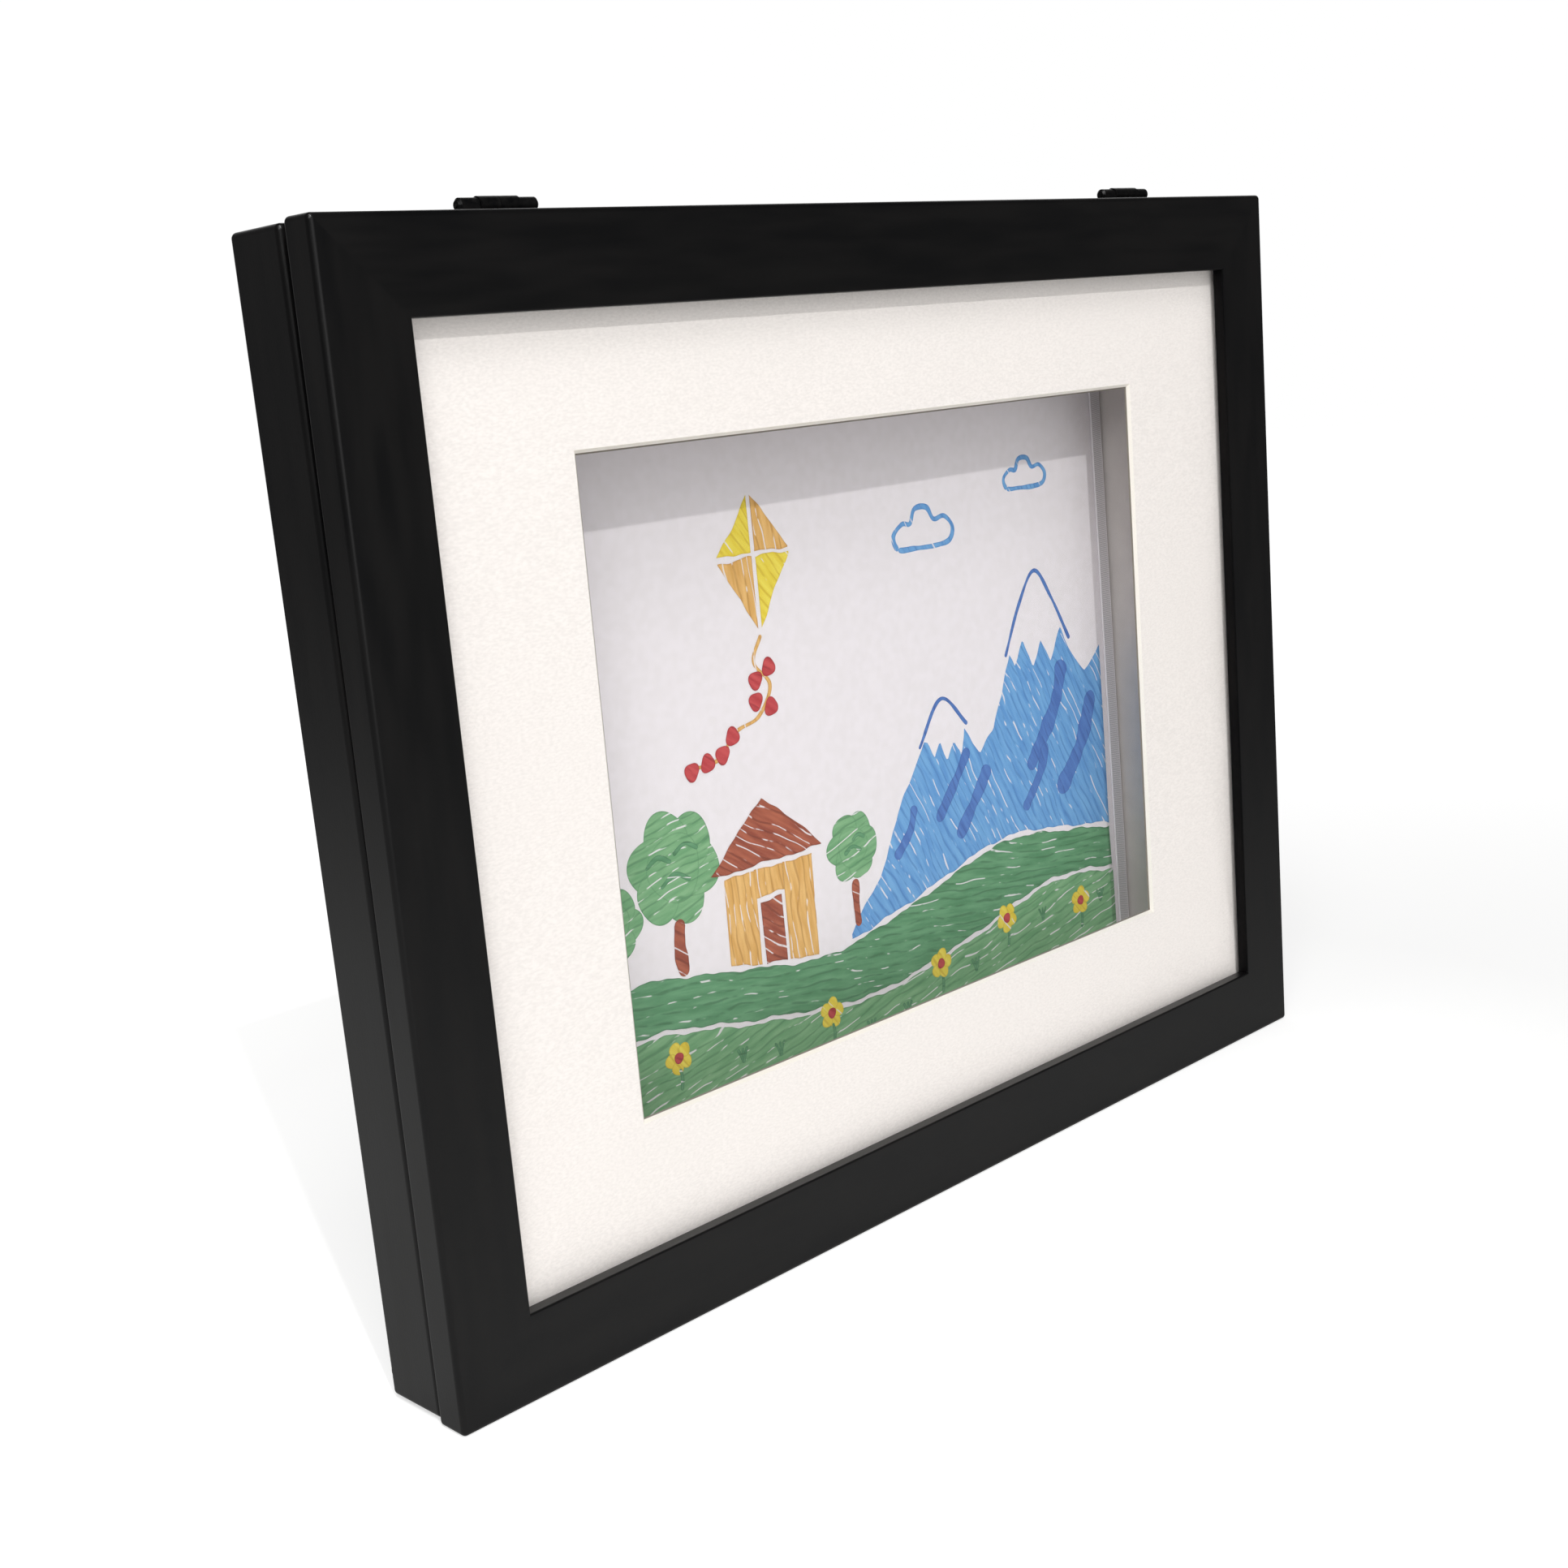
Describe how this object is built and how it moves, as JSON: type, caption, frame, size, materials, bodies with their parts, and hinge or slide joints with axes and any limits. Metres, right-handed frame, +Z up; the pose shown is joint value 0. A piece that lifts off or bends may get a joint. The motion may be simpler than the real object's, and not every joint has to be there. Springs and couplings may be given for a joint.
{
  "type": "front-opening picture frame",
  "caption": "Deep black picture frame for children's art: a glazed, matted door hinged on top lifts from a shallow white box that keeps sheets behind elastic straps.",
  "frame": {"origin": "middle of the footprint, on the surface that the lower edge of the door stands on", "axes": "+X across the frame to the right as seen from the front, +Y back to the wall, +Z up"},
  "size_m": [0.394, 0.0412, 0.3177],
  "materials": {
    "black_lacquer": "satin black lacquer over sanded wood",
    "pane": "clear",
    "mat_paper": "matt paper board with a faint laid texture",
    "white_board": "matt white paper facing",
    "drawing_paper": "uncoated paper",
    "white_elastic": "ribbed woven elastic",
    "black_hinge": "black enamel",
    "black_screw": "black oxide",
    "hinge_pin_steel": "plain wire",
    "tab_steel": "plain spring steel",
    "strike_steel": "plated",
    "magnet_nickel": "nickel plate",
    "panel_board": "black paper on hardboard",
    "hanger_zinc": "bright zinc plate",
    "bumper_rubber": "grey rubber"
  },
  "bodies": {
    "box": {"box_top_rail": "black_lacquer", "box_bottom_rail": "black_lacquer", "box_left_rail": "black_lacquer", "box_right_rail": "black_lacquer", "face_board": "white_board", "cavity_wall_top": "white_board", "cavity_wall_bottom": "white_board", "cavity_wall_left": "white_board", "cavity_wall_right": "white_board", "backing_board": "white_board", "art_sheet": "drawing_paper", "elastic_strap_left": "white_elastic", "elastic_strap_right": "white_elastic", "strap_staples": "tab_steel", "back_panel": "panel_board", "back_panel_tabs": "tab_steel", "box_magnets": "magnet_nickel", "sawtooth_hangers": "hanger_zinc", "hanger_nails": "hanger_zinc", "wall_bumpers": "bumper_rubber", "hinge_box_screws": "black_screw", "hinge_left_box_leaf": "black_hinge", "hinge_right_box_leaf": "black_hinge", "hinge_left_pin": "hinge_pin_steel", "hinge_right_pin": "hinge_pin_steel"},
    "door": {"door_top_rail": "black_lacquer", "door_bottom_rail": "black_lacquer", "door_left_rail": "black_lacquer", "door_right_rail": "black_lacquer", "glazing": "pane", "mat_board": "mat_paper", "glazing_tabs": "tab_steel", "door_corner_wedges": "tab_steel", "door_strike_discs": "strike_steel", "hinge_door_screws": "black_screw", "hinge_left_door_leaf": "black_hinge", "hinge_right_door_leaf": "black_hinge"}
  },
  "joints": [
    {"name": "door_hinge", "type": "hinge", "parent": "box", "child": "door", "pos_m": [0, -0.0071, 0.31541], "axis": [-1, 0, 0], "range_deg": [0, 180]}
  ]
}
